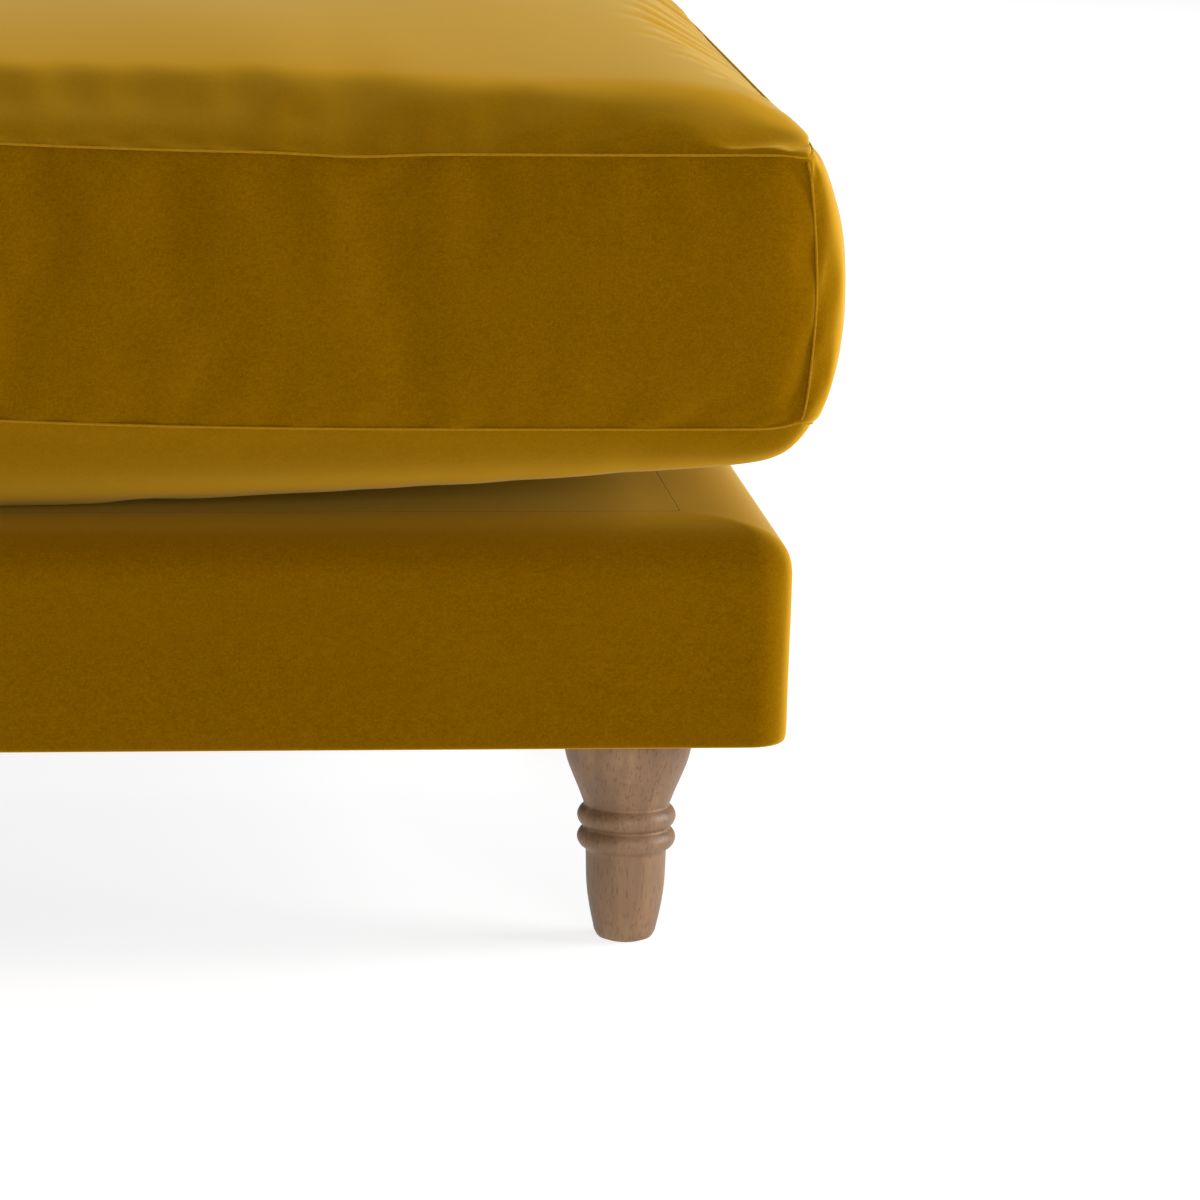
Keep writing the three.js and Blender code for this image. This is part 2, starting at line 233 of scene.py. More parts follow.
def woven(name, light, dark, pitch):
    """A plain weave of two crossed sets of threads."""
    n = Nodes(name)
    threads = []
    for direction in ("X", "Y", "Z"):
        wave = n.add("TexWave", {"Vector": n.coords, "Scale": 1 / (pitch * PITCHES), "Distortion": 0.6,
                                 "Detail": 1.0}, bands_direction=direction)
        threads.append(wave.outputs["Fac"])
    weave = n.math("MULTIPLY", n.math("ADD", threads[0], threads[2]), threads[1])
    slub = n.noise(90.0, 3.0)
    n.shade(Base_Color=n.mix(n.math("MULTIPLY_ADD", weave, 0.5, n.math("MULTIPLY", slub, 0.3)),
                             linear(*dark), linear(*light)))
    n.shade(Roughness=0.88, Sheen_Weight=0.2, Sheen_Roughness=0.5)
    n.shade(Normal=n.bump(weave, 0.35, 0.0004))
    return n.material


def brushed_metal(name, tone, roughness=0.34, direction=0):
    """Metal with fine lines along one axis and a few worn patches."""
    n = Nodes(name)
    scale = tuple(0.05 if axis == direction else 1.0 for axis in range(3))
    lines = n.noise(900.0, 3.0, 0.6, vector=n.stretched(scale))
    wear = n.noise(45.0, 3.0)
    colour = linear(*tone)
    worn = tuple(0.6 * c for c in colour[:3]) + (1,)
    n.shade(Base_Color=n.mix(n.math("MULTIPLY", wear, 0.35), colour, worn))
    n.shade(Metallic=1.0, Roughness=n.math("MULTIPLY_ADD", lines, 0.25, roughness - 0.1))
    n.shade(Normal=n.bump(lines, 0.1, 0.0002))
    return n.material


def moulded(name, tone):
    """Matte plastic with a fine moulded texture."""
    n = Nodes(name)
    grain = n.noise(700.0, 2.0)
    colour = linear(*tone)
    rubbed = tuple(1.6 * c for c in colour[:3]) + (1,)
    n.shade(Base_Color=n.mix(n.math("MULTIPLY", grain, 0.4), colour, rubbed))
    n.shade(Roughness=0.55, Normal=n.bump(grain, 0.2, 0.0003))
    return n.material


VELVET = velvet()
SEAM_HIGHLIGHT = seam_painted_highlight()
OAK = oak()
LINING = woven("charcoal_lining", (84, 78, 70), (46, 42, 38), 0.0016)
DUST = woven("black_cambric", (48, 46, 44), (22, 21, 20), 0.0011)
HOOKS = woven("hook_and_loop", (56, 52, 48), (18, 17, 16), 0.0009)
STEEL = brushed_metal("brushed_steel", (176, 178, 180))
ZINC = brushed_metal("zinc_plate", (196, 200, 204), 0.42)
BRONZE = brushed_metal("aged_bronze", (128, 104, 66), 0.4, 2)
ZIP_TAPE = woven("mustard_zip_tape", (132, 92, 20), (84, 56, 8), 0.0008)
NYLON = moulded("black_nylon", (42, 38, 34))
PINE_X, PINE_Y, PINE_Z = [timber(name, (206, 174, 126), (168, 132, 88), axis)
                          for axis, name in enumerate(("pine_along_x", "pine_along_y", "pine_upright"))]
PLY = timber("birch_plywood", (214, 186, 142), (184, 152, 108), 0)


# ---- mesh helpers
def add_object(name, data):
    thing = bpy.data.objects.new(name, data)
    bpy.context.scene.collection.objects.link(thing)
    return thing


def make_mesh(name, vertices, faces, material, body):
    mesh = bpy.data.meshes.new(name)
    mesh.from_pydata([tuple(v) for v in vertices], [], [tuple(f) for f in faces])
    mesh.validate()
    mesh.update()
    piece = add_object(name, mesh)
    mesh.materials.append(material)
    mesh.polygons.foreach_set("use_smooth", [True] * len(mesh.polygons))
    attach(piece, body)
    return piece


def subdivide(piece, levels):
    modifier = piece.modifiers.new("subdivision", "SUBSURF")
    modifier.levels = modifier.render_levels = levels


def band(first, second, count):
    """The faces between two closed rings of `count` points, which start at those indices."""
    pairs = [(s, (s + 1) % count) for s in range(count)]
    return [(first + s, first + t, second + t, second + s) for s, t in pairs]


def circle(sides, start=0.0):
    """(cosine, sine) at an even step round a circle."""
    angles = [(s + start) / sides * 2 * math.pi for s in range(sides)]
    return [(math.cos(angle), math.sin(angle)) for angle in angles]


def read_points(mesh):
    points = np.empty(len(mesh.vertices) * 3)
    mesh.vertices.foreach_get("co", points)
    return points.reshape(-1, 3)


def thicken(piece, thickness):
    solid = piece.modifiers.new("thickness", "SOLIDIFY")
    solid.thickness = thickness
    solid.offset = 0


def tube(name, path, radius, material, body, closed=True, sides=8):
    """A thin round cord along a path of points, as a mesh."""
    path = np.asarray(path, float)
    count = len(path)
    after = np.roll(path, -1, 0)
    before = np.roll(path, 1, 0)
    if not closed:
        after[-1] = path[-1]
        before[0] = path[0]
    along = after - before
    along /= np.linalg.norm(along, axis=1)[:, None]
    side = np.cross(along, (0.0, 0.0, 1.0))
    flat = np.linalg.norm(side, axis=1) < 0.2
    side[flat] = np.cross(along[flat], (0.0, 1.0, 0.0))
    side /= np.linalg.norm(side, axis=1)[:, None]
    up = np.cross(side, along)
    cosines, sines = np.array(circle(sides)).T[:, None, :, None]
    rings = path[:, None] + radius * (cosines * side[:, None] + sines * up[:, None])
    faces = []
    for i in range(count if closed else count - 1):
        faces += band((i + 1) % count * sides, i * sides, sides)
    if not closed:
        faces.append(tuple(range(sides)))
        faces.append(tuple(reversed(range((count - 1) * sides, count * sides))))
    return make_mesh(name, rings.reshape(-1, 3), faces, material, body)


# ---- cushion
def arc(t):
    """Rises from 0 as a quarter circle and stays at 1: how a stuffed panel leaves its seam."""
    t = np.clip(t, 0, 1)
    return np.sqrt(1 - (1 - t) ** 2)


def ease(t):
    t = np.clip(t, 0, 1)
    return t * t * (3 - 2 * t)


def roll(distance, radius, fullness):
    """Rises from 0 to 1 over `radius`, faster at first where `fullness` is more."""
    return 1 - (1 - np.clip(distance / radius, 0, 1)) ** fullness


def hump(value, centre, width):
    return np.exp(-((value - centre) / width) ** 2)


def rows(half, step):
    """Places of the lattice lines across a panel: close together at the seams, `step` apart inside."""
    edge = [0, 1.2, 3, 6, 10, 15, 22, 30]
    inner = half - edge[-1] * MM
    count = max(2, round(2 * inner / step))
    middle = np.linspace(-inner, inner, count + 1)[1:-1]
    left = [-half + e * MM for e in edge]
    return np.array(left + list(middle) + [-v for v in reversed(left)])


def ripple(x, y, seed, scale):
    """Slow waviness from a few crossed sines, the same on every run."""
    total = 0
    for k in range(4):
        angle = seed * 1.7 + k * 2.4
        phase = seed * 3.1 + k * 1.9
        size = scale * (0.7 + 0.25 * k)
        total = total + np.sin((x * math.cos(angle) + y * math.sin(angle)) * 2 * math.pi / size + phase)
    return total / 4


class Cushion:
    """The stuffed box: six panels that swell away from twelve seams, as one closed lattice."""

    half_x, half_y = SEAM_X - 6.0 * MM, SEAM_Y
    middle = (BORDER_LOW + BORDER_HIGH) / 2 + 0.4 * MM
    half_z = (BORDER_HIGH - BORDER_LOW) / 2 - 0.4 * MM
    crown = CUSHION_TOP - BORDER_HIGH - 4 * MM
    sag = 57.5 * MM
    zip_half, zip_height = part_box("zip_tape")[1].x, middle_of("zip_tape")[2]

    def __init__(self, step):
        self.xs = rows(self.half_x, step)
        self.ys = rows(self.half_y, step)
        self.zs = rows(self.half_z, step)
        self.index = {}
        self.flat = []
        self.faces = []
        self.build_lattice()
        self.flat = np.array(self.flat)
        self.points = self.shape(*self.flat.T)
        self.on_seam = np.isclose(abs(self.flat), (self.half_x, self.half_y, self.half_z)).sum(1) >= 2

    def vertex(self, i, j, k):
        if (i, j, k) not in self.index:
            self.index[i, j, k] = len(self.flat)
            self.flat.append((self.xs[i], self.ys[j], self.zs[k]))
        return self.index[i, j, k]

    def build_lattice(self):
        a, b, c = len(self.xs) - 1, len(self.ys) - 1, len(self.zs) - 1

        def panel(corner, along, across, n, m, flip):
            for u in range(n):
                for v in range(m):
                    quad = [self.vertex(*(corner + along * (u + du) + across * (v + dv)))
                            for du, dv in ((0, 0), (1, 0), (1, 1), (0, 1))]
                    self.faces.append(quad[::-1] if flip else quad)

        x, y, z = np.eye(3, dtype=int)
        zero = np.zeros(3, int)
        panel(zero, x, y, a, b, True)
        panel(z * c, x, y, a, b, False)
        panel(zero, x, z, a, c, False)
        panel(y * b, x, z, a, c, True)
        panel(zero, y, z, b, c, True)
        panel(x * a, y, z, b, c, False)

    def shape(self, x, y, z):
        """Where each point of the flat-sided box goes when the cushion is stuffed."""
        sx, sy, sz = x / self.half_x, y / self.half_y, z / self.half_z
        dx, dy, dz = self.half_x - abs(x), self.half_y - abs(y), self.half_z - abs(z)
        top, bottom = sz > 0.9999, sz < -0.9999
        side, front, back = abs(sx) > 0.9999, sy < -0.9999, sy > 0.9999
        high = (1 + sz) / 2
        belly = 1 - sz ** 2

        # The seams bow out between the corners.
        bow_x = (11 - 4.5 * high) * arc(dy / (60 * MM)) + 5.5 * belly
        bow_y = np.where(y < 0, (1 + 2 * high) * arc(dx / (140 * MM)) + 1.5 * belly, 0)
        out_x = x * (1 + bow_x * MM / self.half_x)
        out_y = y * (1 + bow_y * MM / self.half_y)
        lift = 7 * MM * np.exp(-(abs(x) / (115 * MM)) ** 1.3)
        dips = -2.2 * MM * hump(x, 0.222, 0.020) - 2.0 * MM * hump(x, -0.265, 0.03)
        out_z = self.middle + z + (lift + dips * high) * sy ** 2

        # The twelve seams meet in rounded corners.
        near_x, near_y, near_z = [(1 - np.clip(d / (16 * MM), 0, 1)) ** 2 for d in (dx, dy, dz)]
        corner = near_x * near_y * (1 - high * 0.4) * near_z
        out_z -= np.sign(sz) * 4 * MM * corner
        out_x -= np.sign(x) * 0.7 * MM * corner

        swell = 8.1 * MM * belly ** 0.38 * arc(dy / (33 * MM)) + 3.5 * MM * belly * ease(dy / (300 * MM))
        out_x += np.where(side, np.sign(x) * (swell + self.waves(y, dz)), 0)
        turn = roll(dz, 26 * MM, 3) * roll(dx, 36 * MM, 3)
        puff = (4 * turn + 2.5 * belly * (1 - sx ** 2)) * MM + self.folds(x, sz) * turn
        out_y -= np.where(front, puff, 0)
        out_y += np.where(back, 3 * MM * turn * (1 - self.zip_valley(x, out_z)), 0)

        crown = (0.52 * arc(dx / (75 * MM)) * arc(dy / (75 * MM))
                 + 0.48 * (1 - abs(sx) ** 2.4) * (1 - abs(sy) ** 2.4))
        inside = ease(dx / 0.08) * ease(dy / 0.08)
        out_z += np.where(top, self.crown * crown + 1.8 * MM * ripple(x, y, 2, 0.26) * inside, 0)

        # The bottom panel lies on the lid in the middle and is tauter towards the corners.
        slack = 0.265 + 0.735 * np.clip(np.hypot(dx, dy) / (415 * MM), 0, 1) ** 0.8
        reach = 115 * MM * (slack - 0.09)
        out_z -= np.where(bottom, self.sag * slack * roll(dx, reach, 2.8) * roll(dy, reach, 2.8), 0)
        return np.stack([out_x, out_y, out_z], 1)

    @staticmethod
    def waves(y, dz):
        return 1.0 * MM * ripple(y, dz * 2, 5, 0.17) * ease(dz / 0.04)

    @staticmethod
    def folds(x, sz):
        """A few soft upright folds that hang from the upper front seam, as the height of the cloth."""
        height = 0
        for centre, width, depth in ((0.205, 0.012, 1.6), (0.160, 0.016, 1.5), (0.122, 0.013, -1.2),
                                     (0.083, 0.010, 1.2), (-0.150, 0.016, 1.3), (-0.245, 0.014, 1.5)):
            height = height + depth * MM * hump(x, centre + 0.010 * (1 - sz), width)
        return height * ease((sz + 0.55) / 1.1)

    def zip_valley(self, x, z):
        """1 along the zip, which lies flat and straight, and 0 away from it."""
        across = 1 - ease((abs(z - self.zip_height) - 13 * MM) / (10 * MM))
        along = 1 - ease((abs(x) - self.zip_half - 2 * MM) / (20 * MM))
        return across * along

    def seam(self, axis, first, second):
        """Points along one seam edge; `first` and `second` say which end (0 or 1) of the other two axes."""
        counts = (len(self.xs), len(self.ys), len(self.zs))
        ends = [first, second]
        ends.insert(axis, None)
        path = []
        for step in range(counts[axis]):
            key = [step if end is None else (count - 1 if end else 0) for end, count in zip(ends, counts)]
            path.append(self.points[self.index[tuple(key)]])
        return path

    def rest_on_lid(self):
        """Flattens the underside where it lies: on the lid in front, on the strips and hinges behind."""
        behind = ease((self.points[:, 1] - STRIPS_FRONT) / (20 * MM) + 1)
        height = LID_TOP + 0.6 * MM + (REST_HEIGHT - LID_TOP) * behind
        self.points[:, 2] = np.maximum(self.points[:, 2], height)

    def settle(self):
        """Cloth under pressure from inside, held at the seams, creases and fills the panels a little."""
        moved = inflate(self.points, self.faces, self.on_seam)
        length = np.linalg.norm(moved, axis=1)[:, None]
        cap = 5 * MM
        moved *= np.minimum(1, cap / np.maximum(length, 1e-9))
        x, y, z = self.points.T
        at_zip = self.zip_valley(x, z) * (y > self.half_y - 10 * MM)
        taut = np.where(self.flat[:, 2] < -self.half_z + MM / 2, 0.35, 1)
        self.points = self.points + moved * ((1 - at_zip) * taut)[:, None]


BLOW_FRAMES = 20


def inflate(points, faces, held):
    """How far each point of a closed cloth bag moves as it is blown up, with some points held."""
    mesh = bpy.data.meshes.new("cloth bag")
    loose = np.random.RandomState(11).normal(0, 0.15 * MM, points.shape) * ~held[:, None]
    mesh.from_pydata([tuple(p) for p in points + loose], [], faces)
    bag = add_object("cloth bag", mesh)
    scene = bpy.context.scene
    group = bag.vertex_groups.new(name="seams")
    group.add([int(n) for n in np.flatnonzero(held)], 1.0, "REPLACE")
    cloth = bag.modifiers.new("cloth", "CLOTH").settings
    cloth.quality = 6
    cloth.vertex_group_mass = "seams"
    cloth.use_pressure = True
    cloth.uniform_pressure_force = 4
    cloth.effector_weights.gravity = 0
    cloth.shrink_min = -0.015
    cloth.bending_stiffness = 1.0
    for step in range(BLOW_FRAMES):
        scene.frame_set(step + 1)
    result = bag.evaluated_get(bpy.context.evaluated_depsgraph_get()).to_mesh()
    after = read_points(result)
    bpy.data.objects.remove(bag)
    bpy.data.meshes.remove(mesh)
    scene.frame_set(1)
    return after - points


def make_cushion():
    form = Cushion(10.5 * MM)
    form.settle()
    form.rest_on_lid()
    piece = make_mesh("velvet_cushion", form.points, form.faces, VELVET, "lid")
    mark_seams(piece, form)
    subdivide(piece, 1)
    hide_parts("cushion_foam", "cushion_top_panel", "cushion_border", "cushion_bottom_panel")
    add_seam_cords(form)


def mark_seams(piece, form):
    """Keeps the twelve seams sharp when the mesh is smoothed."""
    crease = piece.data.attributes.new("crease_edge", "FLOAT", "EDGE")
    both = [form.on_seam[list(edge.vertices)].all() for edge in piece.data.edges]
    crease.data.foreach_set("value", np.array(both, dtype=np.float32))


def add_seam_cords(form):
    """The thin turned edge that shows along each seam, set just outside the valley."""
    radius = 0.65 * MM
    centre = np.array((0, 0, form.middle))
    for level, name in ((0, "lower"), (1, "upper")):
        front = form.seam(0, 0, level)
        right = form.seam(1, 1, level)
        back = form.seam(0, 1, level)[::-1]
        left = form.seam(1, 0, level)[::-1]
        loop = np.array(front[1:-1] + right[1:-1] + back[1:-1] + left[1:-1])
        outward = loop - centre
        outward[:, 2] = 0
        outward /= np.linalg.norm(outward, axis=1)[:, None]
        edge = np.minimum(abs(loop[:, 0]) / form.half_x, abs(loop[:, 1]) / form.half_y)
        proud = 0.9 * MM * (1 - ease((edge - 0.955) / 0.03))
        loop = loop + outward * proud[:, None]
        for _ in range(3):
            loop = (np.roll(loop, 1, axis=0) + 2 * loop + np.roll(loop, -1, axis=0)) / 4
        cord = tube(f"{name}_seam", loop, radius, SEAM_HIGHLIGHT, "lid")
    for name, (j, i) in zip(CORNERS, ((0, 0), (0, 1), (1, 0), (1, 1))):
        upright = np.array(form.seam(2, i, j))
        push = np.array(((1 if i else -1) * 0.5, (1 if j else -1) * 0.7, 0)) * MM
        cord = tube(f"{name}_seam", (upright + push)[1:-1], radius, SEAM_HIGHLIGHT, "lid", closed=False)


# ---- plinth cover
def between(a, b, count):
    """`count` points from a towards b, at an even step, with b left out."""
    return [tuple(p + (q - p) * s / count for p, q in zip(a, b)) for s in range(count)]


def rounded_ring(half_x, half_y, radius, height, straight=26, corner=9):
    """Points round a rectangle with rounded corners, at one height."""
    centres = [(half_x - radius, half_y - radius), (radius - half_x, half_y - radius),
               (radius - half_x, radius - half_y), (half_x - radius, radius - half_y)]
    ring = []
    for quarter, (cx, cy) in enumerate(centres):
        turns = [(quarter + s / corner) * math.pi / 2 for s in range(corner + 1)]
        arc_points = [(cx + radius * math.cos(t), cy + radius * math.sin(t)) for t in turns]
        ring += arc_points
        nx, ny = centres[(quarter + 1) % 4]
        there = (nx + radius * math.cos(turns[-1]), ny + radius * math.sin(turns[-1]))
        ring += between(arc_points[-1], there, straight)[1:]
    return [(x, y, height) for x, y in ring]


def stack_rings(name, levels, material, body, capped):
    """Joins equal rings into one closed surface, capped at its ends or joined from last to first."""
    count = len(levels[0])
    vertices = np.array([point for ring in levels for point in ring])
    faces = []
    for level in range(len(levels) - (1 if capped else 0)):
        faces += band(level * count, (level + 1) % len(levels) * count, count)
    if capped:
        faces.append(tuple(reversed(range(count))))
        faces.append(tuple(range((len(levels) - 1) * count, len(levels) * count)))
    return make_mesh(name, vertices, faces, material, body)


def cover_profile(rim, fullness):
    """(inset, height) round the cover's section: up the wall, over the soft edge, down into the opening.

    `rim` is how far in the opening starts, and a greater `fullness` makes the edge squarer."""
    profile = [(12 * MM, BASE_LOW + 0.3 * MM), (5 * MM, BASE_LOW), (2.2 * MM, BASE_LOW + 0.8 * MM),
               (1.2 * MM, BASE_LOW + 3 * MM)]
    spring = BASE_TOP - 26 * MM  # where the wall starts to turn over
    for t in (0.12, 0.25, 0.4, 0.55, 0.7, 0.85):
        profile.append((1.0 * MM * (1 - t) ** 1.2, BASE_LOW + t * (spring - BASE_LOW)))
    shoulder = rim - 3 * MM
    for step in range(12):
        rise = math.sin(step / 11 * math.pi / 2)
        inset = shoulder * (1 - (1 - rise ** fullness) ** (1 / fullness))
        profile.append((inset, spring + (BASE_TOP + DECK_CROWN - spring) * rise))
    deck = BASE_TOP + DECK_CROWN
    under = BASE_TOP - 9 * MM
    profile += [(rim - 0.4 * MM, deck), (rim - LIP, deck), (rim, deck - LIP), (rim, deck - 1 * MM)]
    profile += [(rim, under), (rim - 6 * MM, under), (12 * MM, under), (9 * MM, under - 6 * MM),
                (9 * MM, BASE_LOW + 1.5 * MM)]
    return profile


def make_base_cover():
    ends = cover_profile(BASE_X - RIM_X, 2.8)
    sides = cover_profile(BASE_Y - RIM_Y, 2.3)
    levels = [rounded_ring(BASE_X - end, BASE_Y - side, max(22 * MM - end, 3 * MM), height)
              for (end, height), (side, _) in zip(ends, sides)]
    cover = stack_rings("velvet_base_cover", levels, VELVET, "base", capped=False)
    pad_out(cover.data)
    subdivide(cover, 2)
    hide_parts("front_cover", "back_cover", "left_cover", "right_cover")


def pad_out(mesh):
    """Slow unevenness of the padding under the velvet, on the walls only."""
    points = read_points(mesh)
    x, y, z = points.T
    wall = 0.7 * MM * ease((BASE_TOP - z) / 0.03) * ease((z - BASE_LOW) / 0.02)
    behind = ease((y - HINGES_FRONT) / 0.03 + 1.3)
    near_top = ease((z - BASE_TOP) / (4 * MM) + 1)
    points[:, 2] -= DECK_CROWN * behind * near_top
    at_end, at_front = abs(x) > BASE_X - 0.008, abs(y) > BASE_Y - 0.008
    points[:, 0] += np.where(at_end, np.sign(x) * wall * ripple(y, z, 3, 0.2), 0)
    points[:, 1] += np.where(at_front, np.sign(y) * wall * ripple(x, z, 7, 0.24), 0)
    mesh.vertices.foreach_set("co", points.ravel())


# ---- legs
def bead(radius, bulge, low, high, steps=10):
    points = []
    for i in range(steps + 1):
        t = i / steps
        points.append((radius + bulge * math.sin(math.pi * t) ** 0.75, low + (high - low) * t))
    return points


def smooth_line(anchors, steps):
    """Points on a Catmull-Rom curve through the anchors."""
    points = []
    padded = [anchors[0], *anchors, anchors[-1]]
    for a, b, c, d in zip(padded, padded[1:], padded[2:], padded[3:]):
        for s in range(steps):
            t = s / steps
            points.append(tuple(0.5 * (2 * q + (r - p) * t + (2 * p - 5 * q + 4 * r - w) * t * t
                                       + (3 * q - p - 3 * r + w) * t ** 3)
                                for p, q, r, w in zip(a, b, c, d)))
    return points + [anchors[-1]]


def leg_profile():
    """(radius, height) in millimetres up one turned leg."""
    profile = [(0, 1.0), (12.6, 1.0), (13.6, 1.3), (14.5, 2.3)]
    profile += smooth_line([(15.8, 4.8), (18.4, 17.2), (20.1, 29.8), (20.7, 46.6)], 6)
    profile += [(20.9, 47.6)] + bead(21.6, 3.8, 48.2, 59.8) + bead(22.6, 2.8, 60.2, 70.6)
    profile += smooth_line([(21.9, 71.4), (25.2, 80), (28.8, 88.6), (31.8, 97.3), (35.4, LEG_TOP / MM)], 6)
    return profile + [(0, LEG_TOP / MM)]


def make_leg(label, sides=72):
    centre_x, centre_y, _ = middle_of(f"leg_{label}")
    profile = leg_profile()
    vertices = [(centre_x, centre_y, profile[0][1] * MM)]
    for radius, height in profile[1:-1]:
        reach = radius * MM
        vertices += [(centre_x + reach * c, centre_y + reach * s, height * MM) for c, s in circle(sides)]
    vertices.append((centre_x, centre_y, profile[-1][1] * MM))
    last = len(profile) - 3
    faces = []
    for s in range(sides):
        t = (s + 1) % sides
        faces.append((0, 1 + t, 1 + s))
        faces.append((1 + last * sides + s, 1 + last * sides + t, len(vertices) - 1))
    for level in range(last):
        faces += band(1 + level * sides, 1 + (level + 1) * sides, sides)
    leg = make_mesh(f"turned_leg_{label}", vertices, faces, OAK, "base")
    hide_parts(f"leg_{label}")


# ---- lid, hardware and zip
def rounded_slab(name, low, high, radius, material, body):
    """A closed slab with rounded edges, from a cube whose edges are bevelled."""
    x0, y0, z0 = low
    x1, y1, z1 = high
    vertices = [(x, y, z) for z in (z0, z1) for x, y in ((x0, y0), (x1, y0), (x1, y1), (x0, y1))]
    faces = [(3, 2, 1, 0), (4, 5, 6, 7), (0, 1, 5, 4), (1, 2, 6, 5), (2, 3, 7, 6), (3, 0, 4, 7)]
    piece = make_mesh(name, vertices, faces, material, body)
    bevel = piece.modifiers.new("rounded edges", "BEVEL")
    bevel.width = radius
    bevel.segments = 4
    bevel.limit_method = "NONE"
    return piece


def make_lid():
    """Velvet drawn over the lid board, level with the deck at its edges so that the joint hardly shows."""
    low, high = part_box("lid_board")
    half_x, half_y = high.x + 1.4 * MM, high.y + 1.2 * MM
    section = [(30 * MM, low.z), (3 * MM, low.z), (0.6 * MM, low.z + 0.8 * MM), (0, low.z + 3 * MM),
               (0, high.z - 1 * MM), (0, high.z - LIP), (LIP, high.z), (0.4 * MM, high.z),
               (8 * MM, high.z)]
    levels = [rounded_ring(half_x - inset, half_y - inset, max(5 * MM - inset, 1.2 * MM), height)
              for inset, height in section]
    lid = stack_rings("velvet_lid_panel", levels, VELVET, "lid", capped=True)
    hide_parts("lid_board")


def make_screw(name, place, up, radius, body):
    """A countersunk screw head with a cross recess."""
    sides = 24
    outline = [(0.0, 0.35), (0.25, 0.34), (0.8, 0.28), (1.0, 0.12), (1.0, 0.0)]
    vertices = []
    for share, height in outline[1:]:
        for s in range(sides):
            angle = s / sides * 2 * math.pi
            notch = 0.22 if share < 0.6 and abs(math.sin(2 * angle)) < 0.5 else 0.0
            vertices.append((share * radius * math.cos(angle), share * radius * math.sin(angle),
                             (height - notch) * radius))
    vertices.append((0, 0, 0.05 * radius))
    faces = [(len(vertices) - 1, s, (s + 1) % sides) for s in range(sides)]
    for level in range(len(outline) - 2):
        faces += band((level + 1) * sides, level * sides, sides)
    turn = Vector((0, 0, 1)).rotation_difference(up).to_matrix()
    vertices = [turn @ Vector(v) + place for v in vertices]
    screw = make_mesh(name, vertices, faces, STEEL, body)


def add_hinge_screws(side):
    for leaf, body, rows_y in (("base", "base", (0.35,)), ("lid", "lid", (0.12, 0.42))):
        low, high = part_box(f"{side}_hinge_{leaf}_leaf")
        plate_top = low.z + 2 * MM
        for row, share in enumerate(rows_y):
            for column in (0.2, 0.5, 0.8):
                x, y = low.x + (high.x - low.x) * column, low.y + (high.y - low.y) * share
                place = Vector((x, y, plate_top))
                name = f"{side}_{leaf}_screw_{row}_{round(column * 10)}"
                make_screw(name, place, Vector((0, 0, 1)), 2.6 * MM, body)


# ---- small repeated pieces
def pill(length, width, height, sides=8):
    """A short bar with tapered ends along X, as rings of points."""
    rings = []
    for along, share in ((-0.5, 0.45), (-0.5 + 0.3 * height / length, 0.9), (-0.3, 1), (0.3, 1),
                         (0.5 - 0.3 * height / length, 0.9), (0.5, 0.45)):
        half_width, half_height = share * width / 2, share * height / 2
        rings += [(along * length, half_width * c, half_height * s) for c, s in circle(sides, 0.5)]
    last = len(rings) // sides - 1
    faces = [tuple(reversed(range(sides))), tuple(range(last * sides, (last + 1) * sides))]
    for level in range(last):
        faces += band(level * sides, (level + 1) * sides, sides)
    return rings, faces


def repeat(name, template, places, material, body):
    """One mesh of many copies of a template, at (point, 3x3 matrix) places."""
    points, faces = template
    all_points, all_faces = [], []
    for place, turn in places:
        start = len(all_points)
        all_points += [turn @ Vector(p) + Vector(place) for p in points]
        all_faces += [tuple(start + n for n in face) for face in faces]
    piece = make_mesh(name, all_points, all_faces, material, body)
    return piece


STAPLE = pill(11 * MM, 1.2 * MM, 0.9 * MM)
ALONG_X = Matrix.Identity(3)
ALONG_Y = Matrix.Rotation(math.pi / 2, 3, "Z")
ALONG_Z = Matrix.Rotation(math.pi / 2, 3, "Y")


def round_edge(half_x, half_y, height, pitch):
    """Places at an even pitch round a rectangle, each turned along its edge."""
    places = []
    for half, other, turn, flip in ((half_x, half_y, ALONG_X, False), (half_y, half_x, ALONG_Y, True)):
        count = round(2 * half / pitch)
        for k in range(count):
            along = -half + (k + 0.5) * 2 * half / count
            for side in (-1, 1):
                place = (side * other, along, height) if flip else (along, side * other, height)
                places.append((place, turn))
    return places


# ---- zip
def make_zip():
    """A woven tape sewn flat across the back of the border, rows of teeth, and a slider with its pull."""
    low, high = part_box("zip_tape")
    middle = middle_of("zip_tape")[2]
    tape = rounded_slab("zip_tape_cloth", low, high, 0.4 * MM, ZIP_TAPE, "lid")
    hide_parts("zip_tape")

    pitch = 3.0 * MM
    length = high.x - low.x - 16 * MM
    teeth = []
    for k in range(int(length / pitch)):
        for side in (-1, 1):
            x = low.x + 8 * MM + (k + 0.25 + 0.25 * side) * pitch
            teeth.append(((x, high.y + 0.05 * MM, middle + side * 1.1 * MM), ALONG_Z))
    repeat("zip_teeth", pill(4.2 * MM, 1.3 * MM, 1.0 * MM), teeth, BRONZE, "lid")

    stitches = []
    stitch_pitch = 4.0 * MM
    for k in range(int((high.x - low.x) / stitch_pitch)):
        for side in (-1, 1):
            place = (low.x + (k + 0.5) * stitch_pitch, high.y, middle + side * 9.5 * MM)
            stitches.append((place, ALONG_X))
    repeat("zip_stitches", pill(2.9 * MM, 0.6 * MM, 0.5 * MM, 6), stitches, SEAM_HIGHLIGHT, "lid")
    stops = [((x, high.y + 0.3 * MM, middle), ALONG_Z) for x in (low.x + 5 * MM, high.x - 5 * MM)]
    repeat("zip_stops", pill(7 * MM, 2.4 * MM, 1.6 * MM), stops, BRONZE, "lid")
    make_slider()


